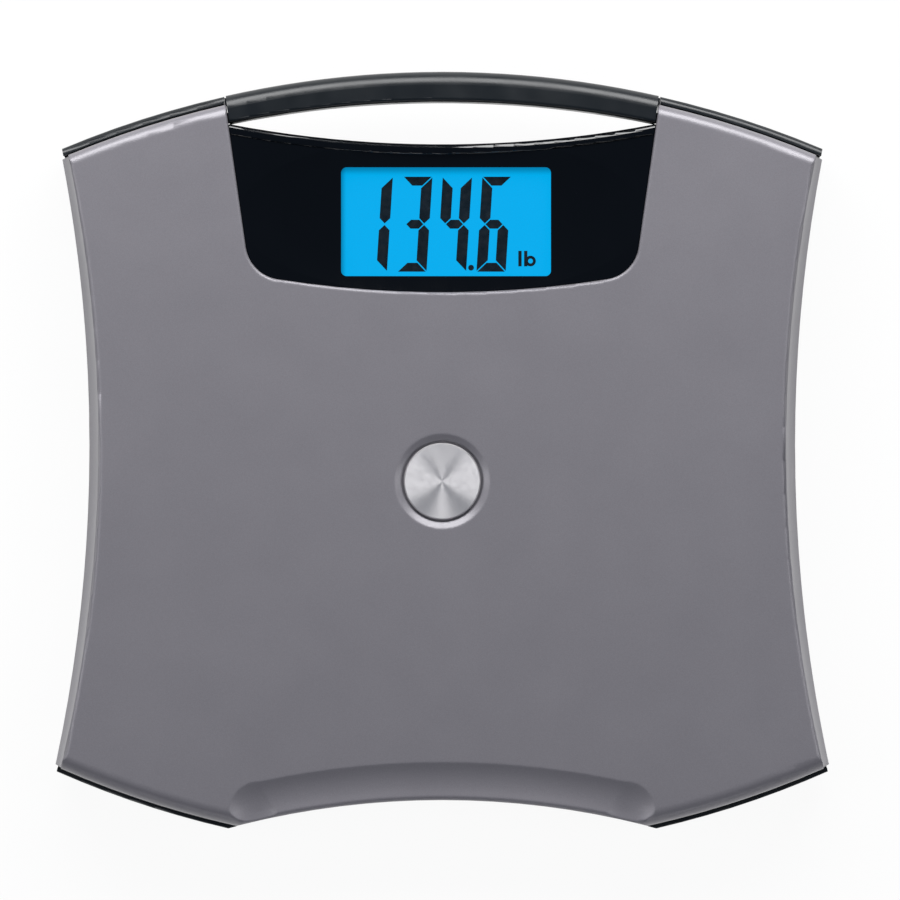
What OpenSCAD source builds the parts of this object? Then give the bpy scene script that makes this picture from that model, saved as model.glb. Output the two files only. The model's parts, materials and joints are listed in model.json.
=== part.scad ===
/* [Outline] */
// Radius of the arched rear edge and handle
rear_r = 443; // [440:1:446]
// Radius of the front edge
front_r = 432; // [430:1:436]
// Radius of the hollow side edges
side_r = 693; // [690:1:696]
// Radius of the hollow toe notch
notch_r = 373.5; // [372:0.5:375]
// Distance from the middle to the rear-most point
rear_y = 171; // [170:0.5:172]
// Distance from the middle to where the front arc would reach
front_y = 181.8; // [181:0.1:182.5]
// Distance from the middle to the toe notch
notch_y = 158; // [157.5:0.5:158.5]
// Half the width at the waist
waist_x = 159.8; // [159:0.1:161]
// How far behind the middle the waist is
waist_y = 2.7; // [2:0.1:3.5]

/* [Heights] */
// Underside of the base above the floor
base_z = 6; // [6:0.5:6.5]
// Lower edge of the deck's skirt
skirt_z = 14.4; // [14:0.2:15]
// Top of the deck
deck_top = 44; // [43.5:0.5:45]
// Top of the base's rear rim
rim_top = 33; // [31:0.5:34]
// Top of the carrying handle
handle_top = 42; // [41:0.5:42.5]
// Underside of the carrying handle
handle_z = 22; // [21:0.5:23]

/* [Walls] */
// Thickness of the deck's plate and skirt
deck_wall = 2.8; // [2.6:0.1:3]
// Thickness of the base's floor and walls
base_wall = 2.2; // [2:0.1:2.3]
// Width of the shadow gap between the deck and the base
seam = 0.8; // [0.7:0.1:0.9]

/* [Hidden] */
$fn = 240;
far = 900;

// Outline: each edge is an arc about its own centre
rear_c = rear_y - rear_r;
front_c = front_r - front_y;
notch_c = -notch_y - notch_r;
side_c = waist_x + side_r;
rim_w = 3.2;
front_rim_w = 2;
front_rim_top = 19;
base_inset = 1.2;
base_roll = 3;
deck_rear_r = rear_r - rim_w - seam;
deck_front_r = front_r - front_rim_w - seam;
rear_roll = 5;
front_roll = 7;
side_roll = 1.5;

// Side flare: its upper edge is a tighter arc than the outline, so the band narrows to the corners
flare_w = 5;
flare_top_z = 34;
flare_h = flare_top_z - skirt_z;
flare_arc_r = (flare_h * flare_h + flare_w * flare_w) / (2 * flare_w);
flare_r = 630;
flare_c = waist_x - flare_w + flare_r;

// Toe scoop: a bent trough sunk into the deck along the notch, with rounder and slightly deeper ends
scoop_edge = 18;
scoop_slope = 23.6;
scoop_half_w = 10.5;
scoop_r = scoop_half_w / sin(scoop_slope);
scoop_z = deck_top + scoop_r * cos(scoop_slope);
scoop_bend_r = notch_r + scoop_edge - scoop_half_w;
scoop_end_half_w = 13.5;
scoop_end_r = scoop_end_half_w / sin(scoop_slope);
scoop_end_z = deck_top + scoop_end_r * cos(scoop_slope);
scoop_end_bend_r = notch_r + scoop_edge + 0.4 - scoop_end_half_w;
scoop_end_x = 83;
scoop_angle = asin(scoop_end_x / scoop_bend_r);
lip_roll = 2;
lip_r = notch_r + seam + lip_roll;
lip_top = scoop_z - sqrt(pow(scoop_r, 2) - pow(scoop_bend_r - lip_r, 2));

// Hand slot between the handle and the display
slot_back_r = 477;
slot_back_c = 157.3 - slot_back_r;
slot_front_r = 513;
slot_front_c = 138.2 + slot_front_r;
bay_x = 97.5;
handle_roll = 6;
handle_wall = 2.4;
handle_in_r = 430.5;
handle_end_x = 88;
root_top = 33.4;
root_x = 106.4;
root_w = 12.4;
root_screw_y = rear_c + sqrt(pow(handle_in_r + 1.2, 2) - pow(root_x, 2));
band_end_x = 98.5;

// Display opening: a wide lower arc, sloping sides and rounded lower corners
open_r = 474;
open_c = 71.5 + open_r;
open_x = 89.2;
open_x_y = 97.2;
open_slope = 0.143;
open_corner = 17;
open_edge_roll = 1;
side_len = sqrt(1 + open_slope * open_slope);
corner_p = open_x - open_slope * open_x_y - open_corner * side_len;
quad_a = 1 + open_slope * open_slope;
quad_b = 2 * corner_p * open_slope - 2 * open_c;
quad_c = corner_p * corner_p + open_c * open_c - pow(open_r - open_corner, 2);
corner_y = (-quad_b - sqrt(quad_b * quad_b - 4 * quad_a * quad_c)) / (2 * quad_a);
corner_x = corner_p + open_slope * corner_y;

// Badge
badge_y = -13.6;
badge_recess_r = 21.4;
badge_r = 17.3;
badge_groove = 1.1;
badge_floor = deck_top - 3;
badge_h = 2.6;
badge_crown = 0.6;
badge_crown_r = (badge_r * badge_r + badge_crown * badge_crown) / (2 * badge_crown);

// Display fascia
fascia_gap = 0.4;
fascia_top = 43;
dish_depth = 5;
dish_half_w = 92;
dish_y = 106;
dish_half_d = 36;
dish_x_r = (pow(dish_half_w, 2) + pow(dish_depth, 2)) / (2 * dish_depth);
dish_y_r = (pow(dish_half_d, 2) + pow(dish_depth, 2)) / (2 * dish_depth);
fascia_wall = 2.2;
fascia_low = 30.5;
lcd_x = 1.7;
lcd_y = 103.3;
lcd_w = 94.5;
lcd_d = 49;

// Feet, load cells and screws
feet = [[-127, 98], [127, 98], [-127, -112], [127, -112]];
screw_spots = [[-84, -60], [84, -60], [-84, 40], [84, 40]];
floor_top = base_z + base_wall;
collar_top = 12;
cell_z = 13;
cell_t = 1.6;
cell_w = 34;
foot_r = 18.2;
foot_floor_z = 2.2;
foot_lip_z = 9.4;
foot_bore_r = 18.8;
carrier_top = 20;
ear_x = 27;
boss_top = 26;
screw_seat = 20;

// Battery compartment and door
battery_y = 30;
door_axis_x = -32;
door_axis_z = base_z + 2.4;
door_end_x = 31;
door_d = 25;
door_pin_r = 1.2;
battery_z = 14.6;
battery_room_w = 49.8;
contact_x = battery_room_w / 2 - 0.3;

// Unit switch
switch_x = 58;
switch_y = 30;

// Display stack, from the circuit board up
lip_w = 4.6;
board_top = 28.6;
stack_top = 35.2;
window_top = 36.8;
post_x = 57;
post_y = 18;

// Display figures
figure_h = 42.8;
figure_w = 13.2;
figure_pitch = 17.85;
figure_x = -31.9;
figure_slant = 3.6;
segment_w = 4.8;
segment_t = 4;
segment_gap = 0.35;

// Lead routes over the base's floor, one list of turning points each
lead_w = 3;
lead_h = 1.1;
lead_socket_y = 84;
lead_routes = [
  [[-103, 91], [-26, 91], [-26, 84]],
  [[103, 91], [26, 91], [26, 84]],
  [[-103, -119], [-42, -119], [-42, 60], [-12, 60], [-12, 84]],
  [[103, -119], [42, -119], [42, 60], [12, 60], [12, 84]]
];

// Area between a convex corner, at the origin and pointing to +x +y, and its rounding
module corner_waste(r, margin = 1) {
  difference() {
    translate([-r, -r]) square(r + margin);
    translate([-r, -r]) circle(r);
  }
}

// Half section of a round slab with a rolled upper edge
module slab_section(r, low, high, roll) {
  difference() {
    translate([0, low]) square([r, high - low]);
    translate([r, high]) corner_waste(roll);
  }
}

// Half section of a round slab with a rolled lower edge
module tray_section(r, low, high, roll) {
  difference() {
    translate([0, low]) square([r, high - low]);
    translate([r, low]) mirror([0, 1]) corner_waste(roll);
  }
}

module turned(centre_y) {
  translate([0, centre_y, 0]) rotate_extrude() children();
}

// Section of the cutter that leaves the hollow side flare
module flare_section(t) {
  square([flare_r - flare_arc_r, far]);
  translate([0, flare_top_z]) square([flare_r + t, far]);
  intersection() {
    translate([flare_r - flare_arc_r, flare_top_z]) circle(flare_arc_r + t);
    square([far, far]);
  }
  if (t == 0) translate([flare_r, deck_top]) difference() {
    translate([-1, -side_roll]) square(side_roll + 1);
    translate([side_roll, -side_roll]) circle(side_roll);
  }
}

// The deck's outer form, moved in by t all over
module deck_form(t, low) {
  difference() {
    intersection() {
      turned(rear_c) slab_section(deck_rear_r - t, low, deck_top - t, rear_roll - t);
      turned(front_c) slab_section(deck_front_r - t, low, deck_top - t, front_roll - t);
    }
    for (s = [-1, 1]) {
      translate([s * side_c, waist_y, 0]) cylinder(r = side_r + t, h = far, center = true);
      translate([s * flare_c, waist_y, 0]) rotate_extrude() flare_section(t);
    }
    turned(notch_c) notch_section(t);
  }
}

// Section of the cutter along the toe notch; its upper part leaves the rolled lip
module notch_section(t) {
  square([notch_r + seam + t, far]);
  if (t == 0) difference() {
    translate([notch_r, lip_top - lip_roll]) square([lip_r - notch_r, far]);
    translate([lip_r, lip_top - lip_roll]) circle(lip_roll);
  }
}

module scoop(t) {
  translate([0, notch_c, 0]) {
    rotate_extrude(angle = 2 * scoop_angle, start = 90 - scoop_angle)
      translate([scoop_bend_r, scoop_z]) circle(scoop_r + t);
    for (s = [-1, 1]) rotate([0, 0, s * scoop_angle]) translate([0, scoop_end_bend_r, scoop_end_z])
      sphere(scoop_end_r + t);
  }
}

// Plan of the display opening, moved in by t, running on past the deck's rear edge
module opening_plan(t) {
  side = function(y) open_x + open_slope * (y - open_x_y) - t * side_len;
  low_y = 40;
  high_y = 200;
  difference() {
    intersection() {
      translate([0, open_c]) circle(open_r - t);
      polygon([
        [-side(low_y), low_y], [side(low_y), low_y], [side(high_y), high_y], [-side(high_y), high_y]
      ]);
    }
    for (s = [-1, 1]) difference() {
      polygon([
        [s * corner_x, corner_y],
        [s * (corner_x + open_corner / side_len), corner_y - open_corner * open_slope / side_len],
        [s * (corner_x + 2 * open_corner), corner_y - 2 * open_corner],
        [s * corner_x * (1 + 0.06), corner_y - 2 * open_corner],
        [s * corner_x * open_r / (open_r - open_corner),
          open_c - (open_c - corner_y) * open_r / (open_r - open_corner)]
      ]);
      translate([s * corner_x, corner_y]) circle(open_corner - t);
    }
  }
}

module opening_cut(t, low, high) {
  translate([0, 0, low]) linear_extrude(high - low) opening_plan(t);
}

// Cutter that rolls the deck's edge along the display opening: lower arc, corners and sides.
// The corners' roll is a touch fuller and runs on a little, so that it crosses its neighbours
module opening_edge_cut(r) {
  arc = atan2(corner_x, open_c - corner_y);
  lean = atan(open_slope);
  run_on = 9;
  translate([0, open_c, deck_top]) rotate_extrude(angle = 2 * arc, start = 270 - arc)
    translate([open_r, 0]) mirror([1, 0]) corner_waste(r);
  for (s = [0, 1]) mirror([s, 0, 0]) translate([corner_x, corner_y, deck_top]) {
    rotate_extrude(angle = 90 - lean - arc + 2 * run_on, start = 270 + arc - run_on)
      translate([open_corner, 0]) mirror([1, 0]) corner_waste(r + 0.12, 1.4);
    rotate([0, 0, -lean]) translate([open_corner, 0, 0]) rotate([-90, 0, 0])
      linear_extrude(120) scale([-1, -1]) corner_waste(r);
  }
}

// Places of the deck screws, the feet and the load cells
module at_deck_screws() {
  for (p = screw_spots) translate([p[0], p[1], 0]) children();
}

module at_feet() {
  for (p = feet) translate([p[0], p[1], 0]) children();
}

module tube(r_out, r_in, low, high) {
  difference() {
    translate([0, 0, low]) cylinder(r = r_out, h = high - low);
    translate([0, 0, low - 1]) cylinder(r = r_in, h = high - low + 2);
  }
}

module block(w, d, low, high) {
  translate([-w / 2, -d / 2, low]) cube([w, d, high - low]);
}

module deck_ribs() {
  for (x = [-120, -84, 84, 120]) translate([x, -20, 0]) block(1.6, 150, 34, deck_top - deck_wall + 0.2);
  for (y = [-95, -60, 40]) translate([0, y, 0]) block(290, 1.6, 34, deck_top - deck_wall + 0.2);
}

module platform_deck() {
  plate_z = deck_top - deck_wall + 0.2;
  color("#807e86") difference() {
    union() {
      difference() {
        deck_form(0, skirt_z);
        difference() {
          deck_form(deck_wall, skirt_z - 1);
          scoop(2.2);
          translate([0, badge_y, badge_floor - 2]) cylinder(r = badge_recess_r + 2, h = 20);
          opening_cut(-2.4, 36.1, 60);
        }
      }
      deck_ribs();
      at_deck_screws() translate([0, 0, boss_top]) cylinder(r = 4.6, h = plate_z - boss_top);
      at_feet() tube(13, 11, carrier_top, plate_z);
    }
    scoop(0);
    opening_cut(0, 0, 60);
    opening_edge_cut(open_edge_roll);
    at_deck_screws() translate([0, 0, boss_top - 1]) cylinder(r = 1.5, h = 13);
    translate([0, badge_y, 0]) rotate_extrude() polygon([
      [0, badge_floor], [badge_r + badge_groove, badge_floor], [badge_r + badge_groove, deck_top - 1.4],
      [badge_recess_r, deck_top], [badge_recess_r, deck_top + 5], [0, deck_top + 5]
    ]);
  }
}

// The base's outer form up to a height, moved in by t, with the bay below the hand slot left out
module base_form(t, low, high) {
  difference() {
    intersection() {
      turned(rear_c) tray_section(rear_r - t, low, high, base_roll - t);
      turned(front_c) tray_section(front_r - t, low, high, base_roll - t);
    }
    for (s = [-1, 1]) translate([s * side_c, waist_y, 0]) rotate_extrude() {
      translate([0, -far / 2]) square([side_r + base_inset + t, far]);
      translate([side_r + base_inset + t, low]) rotate(180) corner_waste(base_roll - t);
    }
    turned(notch_c) square([notch_r + t, far]);
    hand_bay(t);
  }
}

module hand_bay(t) {
  intersection() {
    translate([-bay_x - t, 100, -1]) cube([2 * (bay_x + t), 100, far]);
    translate([0, slot_front_c, -2]) cylinder(r = slot_front_r + t, h = far + 3);
  }
}

// Upright bands of the base that stand behind and in front of the deck's skirt
module base_bands() {
  difference() {
    union() {
      difference() {
        turned(rear_c) difference() {
          translate([rear_r - rim_w, base_z]) square([rim_w, rim_top - base_z]);
          translate([rear_r, rim_top]) corner_waste(2.6);
        }
        translate([-band_end_x, 100, -1]) cube([2 * band_end_x, 100, far]);
        translate([-far / 2, -far, -1]) cube([far, far + 100, far]);
      }
      difference() {
        turned(front_c) difference() {
          translate([front_r - front_rim_w + 0.2, base_z])
            square([front_rim_w - 0.2, front_rim_top - base_z]);
          translate([front_r, front_rim_top]) corner_waste(0.8);
        }
        translate([-far / 2, -100, -1]) cube([far, far, far]);
      }
    }
    for (s = [-1, 1]) translate([s * side_c, waist_y, 0])
      cylinder(r = side_r + base_inset, h = far, center = true);
    turned(notch_c) square([notch_r, far]);
  }
}

// Section of the handle bow about the rear arc's centre, from the inner to the outer radius
module handle_section() {
  difference() {
    translate([handle_in_r - 6, handle_z]) square([rear_r - handle_in_r + 6, handle_top - handle_z]);
    translate([rear_r, handle_top]) corner_waste(handle_roll);
    translate([rear_r, handle_z]) mirror([0, 1]) corner_waste(4);
  }
}

module handle_bow() {
  difference() {
    intersection() {
      turned(rear_c) handle_section();
      opening_cut(0.6, handle_z - 5, handle_top + 5);
      translate([-150, 140, 0]) cube([300, 60, 100]);
    }
    translate([0, slot_back_c, 0]) cylinder(r = slot_back_r, h = 100);
    turned(slot_back_c) translate([slot_back_r, handle_top]) mirror([1, 0]) corner_waste(2);
    intersection() {
      turned(rear_c) translate([handle_in_r + handle_wall, handle_z - 1])
        square([rear_r - handle_in_r - 2 * handle_wall, handle_top - handle_z + 1 - handle_wall]);
      translate([-handle_end_x, 100, 0]) cube([2 * handle_end_x, 100, 60]);
    }
  }
}

// Arms that reach from the handle's ends in under the deck, and the feet they stand on
module handle_roots() {
  for (s = [-1, 1]) {
    intersection() {
      turned(rear_c) translate([handle_in_r + 0.5, handle_z]) square([4.5, root_top - handle_z]);
      translate([s * (root_x - 4.1), 140, 0]) block(root_w + 8.2, 60, 0, 60);
    }
    intersection() {
      turned(rear_c) translate([handle_in_r - 3, floor_top]) square([8.2, root_top - floor_top]);
      translate([s * root_x, 140, 0]) block(root_w, 60, 0, 60);
    }
  }
}

module at_handle_screws() {
  for (s = [-1, 1]) translate([s * root_x, root_screw_y, 0]) children();
}

module carry_handle() {
  color("#2f3236") difference() {
    union() {
      handle_bow();
      handle_roots();
    }
    at_handle_screws() cylinder(r = 1.5, h = 26);
  }
}

module handle_screws() {
  color("#b8bbc0") at_handle_screws() {
    translate([0, 0, base_z - 1.5]) cylinder(r = 3, h = 1.5);
    translate([0, 0, base_z]) cylinder(r = 1.45, h = 18);
  }
}

module base_bosses() {
  at_deck_screws() translate([0, 0, base_z]) cylinder(r = 5.5, h = boss_top - base_z);
  at_feet() {
    tube(22, foot_bore_r + 1.4, base_z + 1, collar_top);
    for (s = [-1, 1]) translate([s * ear_x, 0, base_z]) cylinder(r = 3.5, h = collar_top - base_z);
  }
}

module base_ribs() {
  difference() {
    union() {
      for (y = [-80, -20]) translate([0, y, 0]) block(290, 1.6, base_z + 1, base_z + 6);
      for (x = [-70, 70]) translate([x, -25, 0]) block(1.6, 220, base_z + 1, base_z + 6);
    }
    translate([0, 0, floor_top]) linear_extrude(20) lead_plan(0.4);
    translate([0, battery_y, 0]) block(80, 38, 0, 30);
    translate([switch_x, switch_y, 0]) block(30, 16, 0, 30);
  }
}

module battery_box() {
  difference() {
    translate([0, battery_y, 0]) block(battery_room_w + 3.2, 29.4, base_z + 1, 22.4);
    translate([0, battery_y, 0]) block(battery_room_w, 24.2, 0, 21);
  }
  for (s = [-1, 1]) translate([door_axis_x, battery_y + s * (door_d / 2 + 1.9), 0])
    block(6, 3, base_z + 1, 12);
}

module base_tray() {
  color("#2f3236") difference() {
    union() {
      difference() {
        base_form(0, base_z, skirt_z - 0.4);
        base_form(base_wall, floor_top, 60);
      }
      base_bands();
      base_bosses();
      base_ribs();
      battery_box();
      intersection() {
        translate([0, slot_front_c, 0])
          tube(slot_front_r + base_wall, slot_front_r, base_z, fascia_low - 0.3);
        translate([-94, 100, 0]) cube([188, 60, 60]);
      }
    }
    at_deck_screws() {
      translate([0, 0, base_z - 1]) cylinder(r = 3.9, h = screw_seat - base_z + 1);
      cylinder(r = 1.8, h = 60);
    }
    at_handle_screws() cylinder(r = 1.7, h = 20);
    at_feet() {
      translate([0, 0, base_z - 1]) cylinder(r = foot_bore_r, h = 5);
      for (s = [-1, 1]) translate([s * ear_x, 0, floor_top]) cylinder(r = 1.1, h = 10);
    }
    translate([(door_axis_x - 2.7 + door_end_x + 0.35) / 2, battery_y, 0])
      block(door_end_x - door_axis_x + 3.05, door_d + 0.8, 0, floor_top + 0.2);
    translate([0, battery_y, 0]) block(battery_room_w, 24.2, 0, 21);
    translate([door_end_x + 0.3, battery_y, 0]) cylinder(r = 7, h = base_z + 1.2);
    translate([door_axis_x, battery_y, door_axis_z]) rotate([90, 0, 0])
      cylinder(r = door_pin_r + 0.05, h = 60, center = true);
    translate([switch_x, switch_y, 0]) {
      block(14, 7, 0, base_z + 1.4);
      block(9, 3, 0, 20);
    }
  }
}

module handle_cover() {
  color("#26282b") intersection() {
    turned(rear_c) translate([handle_in_r + handle_wall + 0.2, handle_z])
      square([rear_r - handle_in_r - 2 * handle_wall - 0.4, 1.8]);
    translate([-handle_end_x + 0.3, 100, 0]) cube([2 * handle_end_x - 0.6, 100, 60]);
  }
}

// Solid above the dished face, lowered by t
module dish(t) {
  lift = fascia_top - dish_depth - t;
  translate([0, dish_y, lift + dish_y_r]) rotate([0, 90, 0]) rotate_extrude() intersection() {
    translate([dish_y_r - dish_x_r, 0]) circle(dish_x_r);
    translate([0, -120]) square([200, 240]);
  }
}

module display_fascia() {
  color("#0b0d10") difference() {
    union() {
      difference() {
        union() {
          opening_cut(fascia_gap, fascia_low, fascia_top);
          opening_cut(-2.4, 33.8, 35.8);
        }
        difference() {
          union() {
            dish(0);
            opening_cut(0, fascia_top, fascia_top + 9);
          }
          translate([0, slot_front_c, 0]) cylinder(r = slot_front_r + lip_w, h = 100);
        }
        difference() {
          opening_cut(fascia_gap + fascia_wall, 0, fascia_top - 2);
          dish(fascia_wall);
          translate([0, slot_front_c, 0]) cylinder(r = slot_front_r + fascia_wall, h = 100);
        }
      }
      intersection() {
        translate([lcd_x, lcd_y, 0]) block(lcd_w + 9.5, lcd_d + 11, stack_top - 0.2, fascia_top);
        difference() {
          opening_cut(fascia_gap + 0.5, 0, 100);
          dish(0.4);
        }
      }
      intersection() {
        for (x = [-post_x, post_x], y = [-post_y, post_y]) translate([lcd_x + x, lcd_y + y, board_top])
          cylinder(r = 3, h = 14);
        difference() {
          opening_cut(fascia_gap + 0.5, 0, 100);
          dish(0.4);
        }
      }
    }
    translate([0, slot_front_c, 0]) cylinder(r = slot_front_r, h = 100);
    turned(slot_front_c) translate([slot_front_r, fascia_top]) mirror([1, 0]) corner_waste(2);
    turned(slot_front_c) translate([slot_front_r + lip_w, fascia_top]) corner_waste(0.8);
    translate([lcd_x, lcd_y, 0]) {
      rounded_block(lcd_w, lcd_d, 2.5, 0, 100);
      block(lcd_w + 4, lcd_d + 3.4, 0, window_top);
    }
    for (x = [-post_x, post_x], y = [-post_y, post_y]) translate([lcd_x + x, lcd_y + y, board_top - 1])
      cylinder(r = 1.1, h = 7);
  }
}

module rounded_block(w, d, r, low, high) {
  translate([0, 0, low]) linear_extrude(high - low) {
    square([w - 2 * r, d], center = true);
    square([w, d - 2 * r], center = true);
    for (x = [-1, 1], y = [-1, 1]) translate([x * (w / 2 - r), y * (d / 2 - r)]) circle(r);
  }
}

module lead_plan(grow) {
  for (route = lead_routes, i = [0 : len(route) - 2]) lead_leg(route[i], route[i + 1], lead_w + 2 * grow);
}

module lead_leg(a, b, w) {
  step = b - a;
  translate(a) rotate(atan2(step[1], step[0])) translate([-w / 2, -w / 2]) square([norm(step) + w, w]);
}

// Round metal disc in the deck's middle, slightly crowned
module badge_disc() {
  color("#c8c6c8") translate([0, badge_y, badge_floor]) rotate_extrude() difference() {
    intersection() {
      square([badge_r, badge_h + 1]);
      translate([0, badge_h - badge_crown_r]) circle(badge_crown_r);
    }
    translate([badge_r, badge_h - badge_crown]) rotate(45) square(0.8, center = true);
  }
}

module display_window() {
  color("#dfe6ea") translate([lcd_x, lcd_y, 0])
    block(lcd_w + 3.6, lcd_d + 3, stack_top + 0.2, window_top);
}

module lcd_glass() {
  color("#01aef0") translate([lcd_x, lcd_y, 0]) block(lcd_w + 3, lcd_d + 1.5, stack_top - 2.8, stack_top);
}

// Seven segment figures. Each segment is the top, middle or upper right one, turned over as needed
function slanted(points) = [for (p = points) [p[0] + p[1] * tan(figure_slant), p[1]]];
function turned_over(points, x, y) = [for (p = points) [p[0] * x, p[1] * y]];

module segment(letter) {
  w = figure_w / 2;
  h = figure_h / 2;
  gap = segment_gap;
  t = segment_t;
  top = [[-w + gap, h], [w - gap, h], [w - gap - t, h - t], [gap + t - w, h - t]];
  mid_tip = w - segment_w / 2 - gap;
  mid_end = mid_tip - t / 2;
  middle = [
    [-mid_tip, 0], [-mid_end, t / 2], [mid_end, t / 2], [mid_tip, 0], [mid_end, -t / 2], [-mid_end, -t / 2]
  ];
  side = [
    [w, h - gap], [w, segment_w / 2 + gap], [w - segment_w / 2, gap],
    [w - segment_w, segment_w / 2 + gap], [w - segment_w, h - gap - segment_w]
  ];
  points = letter == "a" ? top
    : letter == "d" ? turned_over(top, 1, -1)
    : letter == "g" ? middle
    : letter == "b" ? side
    : letter == "c" ? turned_over(side, 1, -1)
    : letter == "e" ? turned_over(side, -1, -1)
    : turned_over(side, -1, 1);
  polygon(slanted(points));
}

module lcd_segments() {
  figures = ["bc", "abcdg", "bcfg", "acdefg"];
  color("#0a1a22") translate([lcd_x, lcd_y, stack_top]) linear_extrude(0.12) {
    for (i = [0 : len(figures) - 1], letter = figures[i])
      translate([figure_x + i * figure_pitch, -1]) segment(letter);
    translate([11.3, -20.6]) circle(1.3);
    translate([32.6, -20]) square([1.5, 7]);
    translate([35.2, -20]) {
      square([1.5, 7]);
      translate([2.9, 2.4]) difference() {
        circle(2.4);
        circle(1.1);
      }
    }
  }
}

module backlight_plate() {
  color("#e8f4fa") translate([lcd_x, lcd_y + 1.5, 0])
    block(lcd_w + 3, lcd_d - 2, stack_top - 5.8, stack_top - 2.8);
}

module contact_strip() {
  color("#b9b4c4") translate([lcd_x, lcd_y - lcd_d / 2 + 0.3, 0])
    block(80, 1.6, board_top, stack_top - 2.8);
}

module lcd_holder() {
  color("#e9e9e6") intersection() {
    translate([lcd_x, lcd_y, 0]) difference() {
      block(lcd_w + 7.4, lcd_d + 4.5, board_top, stack_top - 0.4);
      block(lcd_w + 3.2, lcd_d + 1.9, board_top + 0.8, 60);
      block(lcd_w - 8, lcd_d + 1.9, 0, 60);
    }
    opening_cut(fascia_gap + fascia_wall + 0.2, 0, 60);
  }
}

module main_board() {
  color("#2f6b45") translate([lcd_x, lcd_y, 0]) difference() {
    block(2 * post_x + 7, 2 * post_y + 10, board_top - 1.6, board_top);
    at_posts() cylinder(r = 1.3, h = 100, center = true);
  }
}

module at_posts() {
  for (x = [-post_x, post_x], y = [-post_y, post_y]) translate([x, y, 0]) children();
}

module board_screws() {
  color("#b8bbc0") translate([lcd_x, lcd_y, board_top - 1.6]) at_posts() {
    translate([0, 0, -1.5]) cylinder(r = 2.3, h = 1.5);
    cylinder(r = 1.05, h = 6.5);
  }
}

module chip_resin() {
  color("#101214") translate([lcd_x - 14, lcd_y + 4, board_top - 1.6]) mirror([0, 0, 1]) intersection() {
    translate([0, 0, 1.6 - 30]) sphere(30);
    cylinder(r = 8, h = 4);
  }
}

module board_components() {
  under = board_top - 1.6;
  translate([lcd_x, lcd_y, 0]) {
    color("#8a6a3c") for (i = [0 : 5]) translate([6 + 5 * i, 12, 0]) block(2, 1.25, under - 0.8, under);
    color("#22262b") for (x = [8, 20, 32]) translate([x, 2, 0]) block(3, 5, under - 1.2, under);
    color("#1d2a5a") for (x = [10, 24]) translate([x, -8, under - 7]) cylinder(r = 2.5, h = 7);
  }
}

module lead_connector() {
  color("#f0ede2") translate([0, lead_socket_y, 0]) block(56, 6, board_top - 7.6, board_top - 1.6);
}

// Four flat leads, clipped along the floor and up to the socket on the board
module load_cell_leads() {
  color("#b0302a") {
    translate([0, 0, floor_top]) linear_extrude(lead_h) lead_plan(0);
    for (route = lead_routes) {
      first = route[0];
      last = route[len(route) - 1];
      translate([last[0], last[1], 0]) block(lead_w, lead_w, floor_top, board_top - 7.6);
      translate([first[0], first[1], 0]) block(lead_w, lead_w, floor_top, cell_z + 1);
      translate([first[0] + sign(first[0]) * 3.4, first[1], 0]) block(6.8, 2, cell_z, cell_z + 1);
    }
  }
}

module battery_leads() {
  color("#1c1c1e") for (s = [-1, 1]) {
    translate([s * 6, (battery_y + 14.8 + lead_socket_y) / 2, 0])
      block(1.4, lead_socket_y - battery_y - 14.8, floor_top, floor_top + 1.4);
    translate([s * 6, lead_socket_y, 0]) block(1.4, 1.4, floor_top, board_top - 7.6);
  }
}

// Steel frame with a tongue in the middle, cut free by a slot on three sides
module load_cell() {
  color("#c9ccd0") difference() {
    block(cell_w, cell_w, cell_z, cell_z + cell_t);
    difference() {
      block(24, 24, 0, 60);
      block(20, 20, 0, 60);
      translate([0, -12, 0]) block(10, 12, 0, 60);
    }
  }
}

module load_cells() {
  at_feet() load_cell();
}

module strain_gauges() {
  color("#e9e3d2") at_feet() translate([0, -7, 0]) block(8, 5, cell_z + cell_t, cell_z + cell_t + 0.6);
}

module load_cell_carriers() {
  color("#d9d7cf") at_feet() difference() {
    union() {
      block(42, 42, collar_top + 0.3, carrier_top);
      for (s = [-1, 1]) translate([s * ear_x, 0, collar_top]) cylinder(r = 4, h = 3);
      block(2 * ear_x, 6, collar_top, collar_top + 3);
    }
    block(cell_w + 0.4, cell_w + 0.4, 0, cell_z + cell_t);
    block(27, 27, 0, cell_z + cell_t + 2);
    for (s = [-1, 1]) {
      translate([s * ear_x, 0, 0]) cylinder(r = 1.2, h = 100);
      translate([s * 20, -7, 0]) block(12, 3.6, 0, cell_z + 1.6);
    }
  }
}

module carrier_screws() {
  color("#b8bbc0") at_feet() for (s = [-1, 1]) translate([s * ear_x, 0, 0]) {
    translate([0, 0, collar_top + 3]) cylinder(r = 2.4, h = 1.6);
    translate([0, 0, floor_top + 0.4]) cylinder(r = 1.05, h = 7);
  }
}

// Foot cup: a lipped ring hung in the base's collar, with a post that bears on the load cell's tongue
module foot_cup() {
  color("#c9c7c0") rotate_extrude() {
    square_from(0, foot_r, foot_floor_z, foot_floor_z + 1.8);
    square_from(foot_r - 2, foot_r, 0.9, foot_lip_z + 1.2);
    square_from(foot_r - 2, foot_bore_r + 1, foot_lip_z, foot_lip_z + 1.2);
    square_from(0, 5, foot_floor_z, cell_z);
  }
}

module square_from(r_in, r_out, low, high) {
  translate([r_in, low]) square([r_out - r_in, high - low]);
}

module foot_pad() {
  color("#2a2a2c") rotate_extrude() difference() {
    square([foot_r - 2.1, foot_floor_z]);
    translate([foot_r - 2.1, 0]) mirror([0, 1]) corner_waste(0.5);
    for (r = [5, 9, 13]) translate([r - 0.5, -1]) square([1, 1.5]);
  }
}

module at_foot(i) {
  translate([feet[i][0], feet[i][1], 0]) children();
}

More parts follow.
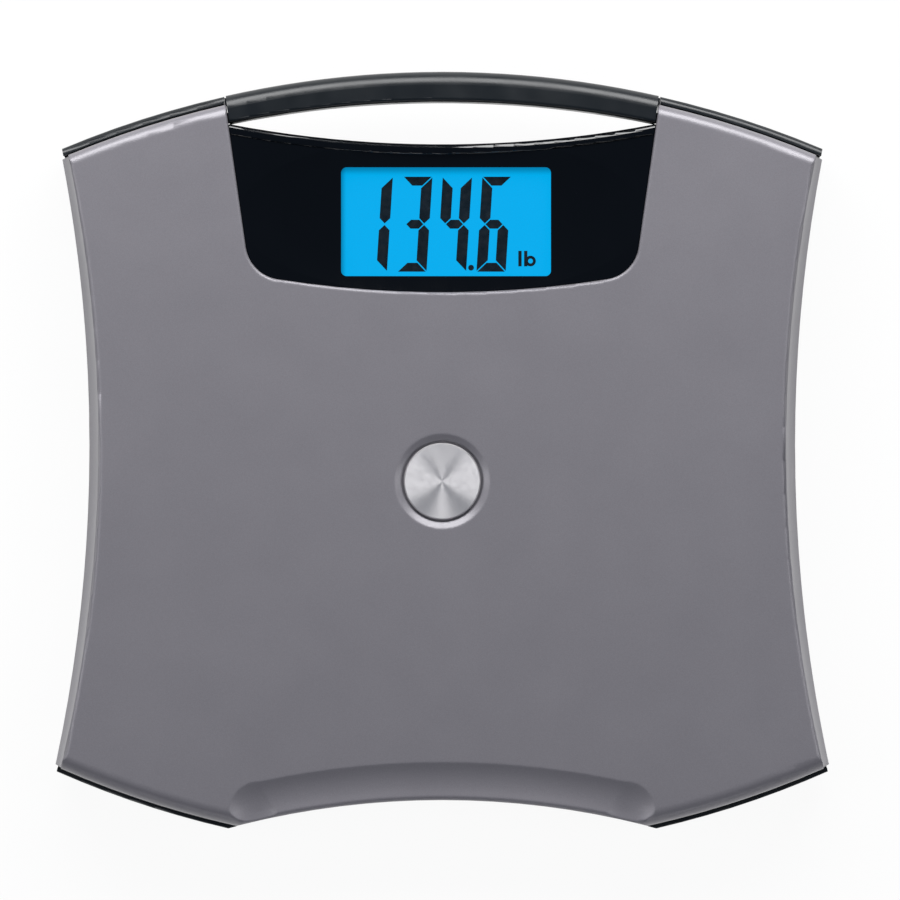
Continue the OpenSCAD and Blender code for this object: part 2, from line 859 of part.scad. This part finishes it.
// Door with a round hinge edge, end pins and a thumb latch
module battery_door() {
  color("#2f3236") {
    difference() {
      union() {
        translate([(door_axis_x + door_end_x) / 2, battery_y, 0])
          block(door_end_x - door_axis_x, door_d, base_z, base_z + 2);
        translate([door_axis_x, battery_y, door_axis_z]) rotate([90, 0, 0]) {
          cylinder(r = 2.4, h = door_d, center = true);
          cylinder(r = door_pin_r, h = door_d + 5, center = true);
        }
        translate([door_end_x - 1.2, battery_y, 0]) block(1.4, 10, base_z + 1, base_z + 6.5);
      }
      for (i = [0 : 4]) translate([door_end_x - 9 + 1.6 * i, battery_y, 0]) block(0.8, 12, 0, base_z + 0.5);
    }
  }
}

module batteries() {
  for (s = [-1, 1]) translate([s * 2, battery_y + s * 5.6, battery_z]) rotate([0, 90 * s, 0]) {
    color("#3c6e9e") translate([0, 0, -22.2]) cylinder(r = 5.2, h = 43.4);
    color("#d0d2d5") translate([0, 0, 21.2]) cylinder(r = 1.9, h = 1);
  }
}

// Places of the contacts: a spring at one end of each cell and a plate at the other
module at_contacts(end) {
  for (s = [-1, 1]) translate([s * end * contact_x, battery_y + s * 5.6, battery_z])
    rotate([0, -90 * s * end, 0]) children();
}

module contact_leaf() {
  translate([-5, -4.5, 0]) cube([10, 9, 0.4]);
}

// Coned coil spring, swept as a ring of points that climbs and narrows
module coned_spring(length, r_low, r_high, wire_r, turns) {
  sides = 6;
  rings = turns * 16;
  centre = function(i) let (a = 360 * turns * i / rings, r = r_low + (r_high - r_low) * i / rings)
    [r * cos(a), r * sin(a), length * i / rings];
  points = [for (i = [0 : rings], k = [0 : sides - 1])
    let (a = 360 * turns * i / rings, b = 360 * k / sides, c = centre(i))
    c + [wire_r * cos(b) * cos(a), wire_r * cos(b) * sin(a), wire_r * sin(b)]];
  faces = concat(
    [[for (k = [sides - 1 : -1 : 0]) k]],
    [for (i = [0 : rings - 1], k = [0 : sides - 1])
      let (a = i * sides + k, b = i * sides + (k + 1) % sides) [a, b + sides, a + sides]],
    [for (i = [0 : rings - 1], k = [0 : sides - 1])
      let (a = i * sides + k, b = i * sides + (k + 1) % sides) [a, b, b + sides]],
    [[for (k = [0 : sides - 1]) rings * sides + k]]
  );
  polyhedron(points, faces);
}

module spring_contacts() {
  color("#cfd2d6") at_contacts(-1) {
    contact_leaf();
    translate([0, 0, 0.82]) coned_spring(2.7, 3.4, 1.6, 0.4, 2.5);
  }
}

module plate_contacts() {
  color("#cfd2d6") at_contacts(1) contact_leaf();
}

module deck_screw_set() {
  color("#b8bbc0") at_deck_screws() {
    translate([0, 0, screw_seat - 2]) cylinder(r = 3.4, h = 2);
    translate([0, 0, screw_seat]) cylinder(r = 1.45, h = 16);
  }
}

module switch_body() {
  color("#c5c8cc") translate([switch_x, switch_y, 0]) difference() {
    block(15, 7, floor_top, floor_top + 5);
    block(8.6, 2.8, 0, floor_top + 4);
  }
}

module switch_board() {
  color("#2f6b45") translate([switch_x, switch_y, 0]) block(20, 10, floor_top + 5, floor_top + 6.2);
}

module unit_knob() {
  color("#e6e6e3") translate([switch_x - 2, switch_y, 0]) {
    block(6, 5.4, base_z + 0.3, base_z + 1.1);
    for (x = [-1.8, 0, 1.8]) translate([x, 0, 0]) block(0.7, 5.4, base_z - 0.3, base_z + 0.5);
    block(2.4, 2.4, base_z + 0.5, floor_top + 3.4);
  }
}

base_tray();
carry_handle();
handle_cover();
handle_screws();
platform_deck();
badge_disc();
display_fascia();
display_window();
lcd_glass();
lcd_segments();
backlight_plate();
contact_strip();
lcd_holder();
main_board();
chip_resin();
board_components();
lead_connector();
board_screws();
load_cell_leads();
battery_leads();
load_cells();
strain_gauges();
load_cell_carriers();
carrier_screws();
deck_screw_set();  // deck_screws
at_foot(0) foot_cup();  // foot_cup_rear_left
at_foot(1) foot_cup();  // foot_cup_rear_right
at_foot(2) foot_cup();  // foot_cup_front_left
at_foot(3) foot_cup();  // foot_cup_front_right
at_foot(0) foot_pad();  // foot_pad_rear_left
at_foot(1) foot_pad();  // foot_pad_rear_right
at_foot(2) foot_pad();  // foot_pad_front_left
at_foot(3) foot_pad();  // foot_pad_front_right
battery_door();
batteries();
spring_contacts();
plate_contacts();
switch_body();
switch_board();
unit_knob();
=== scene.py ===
"""Looks of the digital bathroom scale: materials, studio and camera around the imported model."""
import json

import bpy
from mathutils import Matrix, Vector


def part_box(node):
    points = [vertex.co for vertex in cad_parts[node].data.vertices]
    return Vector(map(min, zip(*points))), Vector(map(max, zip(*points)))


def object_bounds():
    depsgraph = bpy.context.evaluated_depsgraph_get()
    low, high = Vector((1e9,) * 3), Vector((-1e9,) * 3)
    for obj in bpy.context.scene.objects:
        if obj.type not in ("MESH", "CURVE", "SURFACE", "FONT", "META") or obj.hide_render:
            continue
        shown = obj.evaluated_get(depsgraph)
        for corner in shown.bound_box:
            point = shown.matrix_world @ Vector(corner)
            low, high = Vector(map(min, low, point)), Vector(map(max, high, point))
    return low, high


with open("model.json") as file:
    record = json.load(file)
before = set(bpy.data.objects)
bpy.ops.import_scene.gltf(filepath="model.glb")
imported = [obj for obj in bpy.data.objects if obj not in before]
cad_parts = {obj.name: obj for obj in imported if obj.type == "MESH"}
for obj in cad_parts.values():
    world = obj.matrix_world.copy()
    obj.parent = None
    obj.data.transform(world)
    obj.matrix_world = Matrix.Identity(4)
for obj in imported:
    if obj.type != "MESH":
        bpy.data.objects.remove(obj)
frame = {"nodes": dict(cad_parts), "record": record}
CAD_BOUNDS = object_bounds()
NODES = frame["nodes"]

MM = 0.001
NOISE_LOW = 0.3  # nearly all of a noise texture's values lie between these two
NOISE_HIGH = 0.7


# ---------------------------------------------------------------- material helpers
class Shader:
    """A node material that is built up step by step around one Principled BSDF."""

    def __init__(self, name, colour, roughness, metallic=0.0):
        self.material = bpy.data.materials.new(name)
        self.material.use_nodes = True
        self.tree = self.material.node_tree
        self.bsdf = self.tree.nodes["Principled BSDF"]
        self.bsdf.inputs["Metallic"].default_value = metallic
        self.bsdf.inputs["Roughness"].default_value = roughness
        self.bsdf.inputs["Base Color"].default_value = (*colour, 1.0)
        self.colour = colour
        self.roughness = roughness
        self.coords = self.node("ShaderNodeTexCoord").outputs["Object"]
        self.normal = None

    def node(self, kind, **values):
        made = self.tree.nodes.new(kind)
        for key, value in values.items():
            setattr(made, key, value)
        return made

    def link(self, output, target):
        self.tree.links.new(output, target)

    def set(self, **values):
        """Sets plain sockets of the shader; the key is the socket's name with _ for spaces."""
        for key, value in values.items():
            self.bsdf.inputs[key.replace("_", " ")].default_value = value
        return self

    def noise(self, size, detail=2.0, stretch=(1.0, 1.0, 1.0)):
        """Noise whose features are about size metres across."""
        mapping = self.node("ShaderNodeMapping")
        mapping.inputs["Scale"].default_value = stretch
        self.link(self.coords, mapping.inputs["Vector"])
        noise = self.node("ShaderNodeTexNoise")
        noise.inputs["Scale"].default_value = 1.0 / size
        noise.inputs["Detail"].default_value = detail
        self.link(mapping.outputs["Vector"], noise.inputs["Vector"])
        return noise.outputs["Fac"]

    def spread(self, factor, low, high):
        """Maps the usual span of a noise into low to high, and clamps what lies outside it."""
        ramp = self.node("ShaderNodeMapRange")
        ramp.inputs["From Min"].default_value = NOISE_LOW
        ramp.inputs["From Max"].default_value = NOISE_HIGH
        ramp.inputs["To Min"].default_value = low
        ramp.inputs["To Max"].default_value = high
        self.link(factor, ramp.inputs["Value"])
        return ramp.outputs["Result"]

    def vary_colour(self, factor, amount):
        """Makes the base colour a little darker and lighter with the factor."""
        mix = self.node("ShaderNodeMix", data_type="RGBA")
        mix.inputs["A"].default_value = (*[c * (1 - amount) for c in self.colour], 1.0)
        mix.inputs["B"].default_value = (*[min(c * (1 + amount), 1.0) for c in self.colour], 1.0)
        self.link(self.spread(factor, 0.0, 1.0), mix.inputs["Factor"])
        self.link(mix.outputs["Result"], self.bsdf.inputs["Base Color"])
        return self

    def vary_roughness(self, factor, amount):
        low, high = self.roughness - amount, self.roughness + amount
        self.link(self.spread(factor, max(low, 0.01), high), self.bsdf.inputs["Roughness"])
        return self

    def soften(self, radius):
        """Evens out the shading along rolled edges, as far as radius around each point."""
        bevel = self.node("ShaderNodeBevel", samples=6)
        bevel.inputs["Radius"].default_value = radius
        self.normal = bevel.outputs["Normal"]
        self.link(self.normal, self.bsdf.inputs["Coat Normal"])
        return self

    def bump(self, height, distance, strength=1.0):
        bump = self.node("ShaderNodeBump")
        bump.inputs["Distance"].default_value = distance
        bump.inputs["Strength"].default_value = strength
        self.link(height, bump.inputs["Height"])
        if self.normal is not None:
            self.link(self.normal, bump.inputs["Normal"])
        self.normal = bump.outputs["Normal"]
        self.link(self.normal, self.bsdf.inputs["Normal"])
        return self


# ---------------------------------------------------------------- materials
def deck_paint():
    """Satin metallic lacquer: fine flakes, a slight mottle and a clear coat over softened edges."""
    paint = Shader("deck_paint", (0.19, 0.182, 0.2), 0.4, metallic=0.3)
    paint.set(Coat_Weight=0.25, Coat_Roughness=0.26)
    paint.soften(1.5 * MM)
    flakes = paint.noise(0.35 * MM, detail=1.0)
    mottle = paint.noise(28 * MM, detail=3.0)
    paint.vary_colour(flakes, 0.07).vary_roughness(mottle, 0.025)
    return paint.bump(flakes, 0.004 * MM).bump(paint.noise(1.4 * MM), 0.01 * MM).material


def moulded_plastic(name, colour, roughness=0.42, grain=0.4 * MM, depth=0.008 * MM):
    """Moulded plastic with a fine tool texture."""
    plastic = Shader(name, colour, roughness)
    plastic.vary_colour(plastic.noise(9 * MM, detail=4.0), 0.06)
    plastic.vary_roughness(plastic.noise(18 * MM), 0.05)
    return plastic.bump(plastic.noise(grain, detail=1.0), depth).material


def gloss_black():
    """High gloss moulding with the faint waviness and wipe marks of such a face."""
    gloss = Shader("gloss_black", (0.001, 0.0014, 0.002), 0.07)
    gloss.set(Coat_Weight=0.4, Coat_Roughness=0.03)
    gloss.vary_roughness(gloss.noise(14 * MM, detail=5.0, stretch=(1.0, 0.3, 1.0)), 0.02)
    gloss.vary_colour(gloss.noise(30 * MM), 0.1)
    return gloss.bump(gloss.noise(16 * MM), 0.004 * MM).material


def clear_window():
    window = Shader("clear_window", (0.0, 0.01, 0.02), 0.03)
    window.set(Alpha=0.05, IOR=1.49)
    window.vary_roughness(window.noise(10 * MM, detail=4.0), 0.01)
    return window.bump(window.noise(20 * MM), 0.002 * MM).material


def lit_display():
    """Display cell lit from behind, with painted shade: its glow is dimmed near its upper and left
    edges in place of the shadow of the window's edges.
    """
    low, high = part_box("lcd_glass")
    # painted shade: ramps that dim the glow towards the cell's left and upper edges, standing in for
    # the window edges' shadow
    painted_shade_fades = (
        ("X", low.x + 1.2 * MM, low.x + 4.0 * MM),
        ("Y", high.y - 0.8 * MM, high.y - 4.5 * MM),
    )
    edge_shade_level = 0.55
    light = (0.0, 0.45, 0.91, 1.0)
    cell = Shader("lcd_blue", (0.0, 0.01, 0.03), 0.5)
    split = cell.node("ShaderNodeSeparateXYZ")
    cell.link(cell.coords, split.inputs["Vector"])
    shade = None
    for axis, near, far in painted_shade_fades:
        edge_shade_ramp = cell.node("ShaderNodeMapRange", interpolation_type="SMOOTHSTEP")
        edge_shade_ramp.inputs["From Min"].default_value = near
        edge_shade_ramp.inputs["From Max"].default_value = far
        edge_shade_ramp.inputs["To Min"].default_value = edge_shade_level
        cell.link(split.outputs[axis], edge_shade_ramp.inputs["Value"])
        if shade is None:
            shade = edge_shade_ramp.outputs["Result"]
        else:
            both = cell.node("ShaderNodeMath", operation="MULTIPLY")
            cell.link(shade, both.inputs[0])
            cell.link(edge_shade_ramp.outputs["Result"], both.inputs[1])
            shade = both.outputs["Value"]
    # the backlight colour, darkened at the edges by the painted shade
    glow = cell.node("ShaderNodeMix", data_type="RGBA")
    glow.inputs["A"].default_value = (0.0, 0.0, 0.0, 1.0)
    glow.inputs["B"].default_value = light
    cell.link(shade, glow.inputs["Factor"])
    cell.link(glow.outputs["Result"], cell.bsdf.inputs["Emission Color"])
    cell.set(Emission_Strength=1.0, Specular_IOR_Level=0.08)
    cell.vary_colour(cell.noise(25 * MM), 0.04)
    return cell.material


def figure_ink():
    ink = Shader("lcd_figures", (0.002, 0.006, 0.01), 0.3)
    ink.vary_colour(ink.noise(6 * MM), 0.15).vary_roughness(ink.noise(3 * MM), 0.05)
    return ink.material


def spun_metal():
    """Disc turned on a lathe: rings in the surface stretch the highlights into fans."""
    ring_scale = 900.0
    disc = Shader("badge_metal", (0.64, 0.625, 0.635), 0.4, metallic=0.72)
    disc.set(Anisotropic=0.9)
    tangent = disc.node("ShaderNodeTangent", direction_type="RADIAL", axis="Z")
    disc.link(tangent.outputs["Tangent"], disc.bsdf.inputs["Tangent"])
    low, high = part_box("badge_disc")
    centre = (low + high) / 2
    shift = disc.node("ShaderNodeVectorMath", operation="SUBTRACT")
    shift.inputs[1].default_value = centre
    disc.link(disc.coords, shift.inputs[0])
    rings = disc.node("ShaderNodeTexWave", wave_type="RINGS", rings_direction="Z")
    rings.inputs["Scale"].default_value = ring_scale
    rings.inputs["Distortion"].default_value = 1.5
    rings.inputs["Detail"].default_value = 3.0
    disc.link(shift.outputs["Vector"], rings.inputs["Vector"])
    disc.vary_colour(rings.outputs["Fac"], 0.03)
    disc.vary_roughness(disc.noise(2 * MM, detail=4.0), 0.05)
    return disc.bump(rings.outputs["Fac"], 0.002 * MM).material


def metal(name, colour, roughness=0.3, grain=0.5 * MM, stretch=(1.0, 1.0, 1.0)):
    """Plated or stamped metal with a fine grain."""
    part = Shader(name, colour, roughness, metallic=1.0)
    fine = part.noise(grain, detail=3.0, stretch=stretch)
    part.vary_colour(part.noise(4 * MM, detail=3.0), 0.08).vary_roughness(fine, 0.08)
    return part.bump(fine, 0.004 * MM).material


def rubber(name, colour, roughness=0.7):
    part = Shader(name, colour, roughness)
    part.vary_colour(part.noise(2.5 * MM, detail=4.0), 0.15).vary_roughness(part.noise(5 * MM), 0.06)
    return part.bump(part.noise(0.3 * MM, detail=2.0), 0.015 * MM).material


MATERIALS = {
    "charcoal_plastic": lambda: moulded_plastic("charcoal_plastic", (0.004, 0.006, 0.008), 0.34),
    "deck_paint": deck_paint,
    "badge_metal": spun_metal,
    "gloss_black": gloss_black,
    "clear_window": clear_window,
    "lcd_blue": lit_display,
    "lcd_figures": figure_ink,
    "light_guide": lambda: moulded_plastic("light_guide", (0.8, 0.88, 0.92), 0.25, grain=0.8 * MM),
    "contact_rubber": lambda: rubber("contact_rubber", (0.45, 0.42, 0.5)),
    "white_plastic": lambda: moulded_plastic("white_plastic", (0.72, 0.71, 0.68)),
    "board_green": lambda: moulded_plastic("board_green", (0.03, 0.14, 0.06), 0.3, grain=1.2 * MM),
    "resin_black": lambda: moulded_plastic("resin_black", (0.006, 0.007, 0.008), 0.18, grain=3 * MM),
    "component_body": lambda: moulded_plastic("component_body", (0.09, 0.07, 0.05)),
    "screw_steel": lambda: metal("screw_steel", (0.55, 0.56, 0.58)),
    "lead_red": lambda: rubber("lead_red", (0.4, 0.03, 0.02), 0.45),
    "lead_black": lambda: rubber("lead_black", (0.012, 0.012, 0.014), 0.45),
    "cell_steel": lambda: metal("cell_steel", (0.58, 0.6, 0.62), 0.35, stretch=(1.0, 0.1, 1.0)),
    "gauge_film": lambda: moulded_plastic("gauge_film", (0.75, 0.7, 0.55), 0.5),
    "foot_plastic": lambda: moulded_plastic("foot_plastic", (0.5, 0.49, 0.46)),
    "pad_rubber": lambda: rubber("pad_rubber", (0.02, 0.02, 0.022)),
    "battery_label": lambda: moulded_plastic("battery_label", (0.05, 0.14, 0.3), 0.25, grain=2 * MM),
    "contact_metal": lambda: metal("contact_metal", (0.62, 0.63, 0.66), 0.25),
}


def dress_nodes():
    """Gives every CAD node the material of its slot."""
    made = {slot: build() for slot, build in MATERIALS.items()}
    for part in frame["record"]["subparts"]:
        mesh = NODES[part["node"]].data
        mesh.materials.clear()
        mesh.materials.append(made[part["material_slot"]])


# ---------------------------------------------------------------- studio
AIM_HEIGHT = 0.03  # where the lamps point, in metres above the floor

def floor():
    """Pale floor, just under the feet, that also glows so that it renders nearly white."""
    size = 6.0
    gap = 0.5 * MM
    bpy.ops.mesh.primitive_plane_add(size=size, location=(0, 0, -gap))
    ground = bpy.context.object
    ground.name = "floor"
    surface = Shader("floor_white", (0.04, 0.04, 0.04), 0.8)
    surface.vary_colour(surface.noise(0.5), 0.004)
    surface.set(Specular_IOR_Level=0.1, Emission_Color=(1, 1, 1, 1), Emission_Strength=0.94)
    ground.data.materials.append(surface.material)


def softbox(name, place, size, watts, target=(0, 0, AIM_HEIGHT)):
    """Rectangular lamp in metres and watts, turned to the target and unseen by the camera."""
    light = bpy.data.lights.new(name, "AREA")
    light.shape = "RECTANGLE"
    light.size, light.size_y = size
    light.energy = watts
    lamp = bpy.data.objects.new(name, light)
    lamp.location = place
    lamp.rotation_euler = (Vector(target) - Vector(place)).to_track_quat("-Z", "Y").to_euler()
    lamp.visible_camera = False
    bpy.context.scene.collection.objects.link(lamp)


def studio():
    """Two main lamps behind the scale, weak fill from the sides and front, and a faint blue sky."""
    rear_x = 0.43
    rear_size = (0.8, 0.7)
    rear_watts = 15.5
    side_size = (0.4, 0.8)
    sky_colour = (0.5, 0.66, 1.0, 1.0)
    sky_strength = 0.09
    for name, x in (("rear_left_box", -rear_x), ("rear_right_box", rear_x)):
        softbox(name, (x, 0.95, 0.75), rear_size, rear_watts, target=(x, 0, AIM_HEIGHT))
    softbox("left_box", (-0.9, -0.1, 1.0), side_size, 3.5)
    softbox("right_box", (0.9, -0.1, 1.0), side_size, 3)
    softbox("front_box", (0.0, -1.3, 0.4), (1.4, 0.2), 2)
    world = bpy.data.worlds.new("studio")
    world.use_nodes = True
    world.node_tree.nodes["Background"].inputs["Color"].default_value = sky_colour
    world.node_tree.nodes["Background"].inputs["Strength"].default_value = sky_strength
    bpy.context.scene.world = world
    bpy.context.scene.view_settings.view_transform = "Standard"


def camera():
    """Looks straight down from far off, as a product shot from above does."""
    field = 0.405
    lens = 400.0
    sensor = 36.0
    off_centre = (0.0035, 0.0005)
    deck_top = CAD_BOUNDS[1][2]
    view = bpy.data.cameras.new("camera")
    view.lens = lens
    view.sensor_width = sensor
    view.clip_end = 20
    eye = bpy.data.objects.new("camera", view)
    eye.location = (*off_centre, deck_top + field * lens / sensor)
    bpy.context.scene.collection.objects.link(eye)
    bpy.context.scene.camera = eye


dress_nodes()
floor()
studio()
camera()
